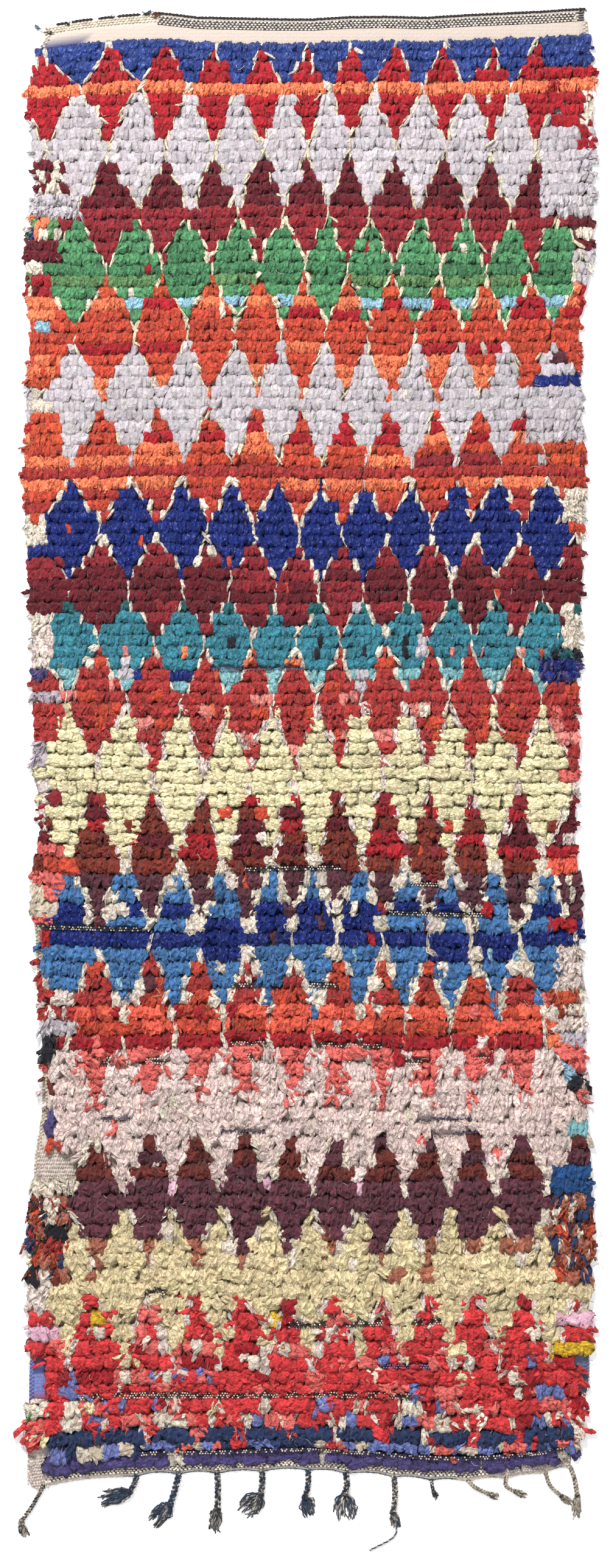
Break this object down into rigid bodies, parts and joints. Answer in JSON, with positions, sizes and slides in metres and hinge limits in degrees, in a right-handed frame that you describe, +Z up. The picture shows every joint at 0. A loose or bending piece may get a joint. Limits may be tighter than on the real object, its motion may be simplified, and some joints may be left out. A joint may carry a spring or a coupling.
{
  "type": "boujad runner",
  "caption": "Long hand-knotted rag-pile runner with bands of interlocking lozenges, plain-woven ends, a dark edging cord and braided warp tassels.",
  "frame": {"origin": "middle of the whole runner, fringe included, on the floor under it", "axes": "+Z up out of the pile, +Y along the runner towards the end with the edging cord, +X across it to the right"},
  "size_m": [1.054, 2.7874, 0.022],
  "materials": {
    "rag_pile": "matt rag tufts of cotton jersey in many colours on a cream wool and cotton weave",
    "edging": "matt dark brown wool twine",
    "fringe": "matt braided wool and cotton in navy, black and cream"
  },
  "bodies": {
    "root": {"runner_body": "rag_pile", "edging_cord": "edging", "braided_fringe": "fringe"}
  },
  "joints": []
}
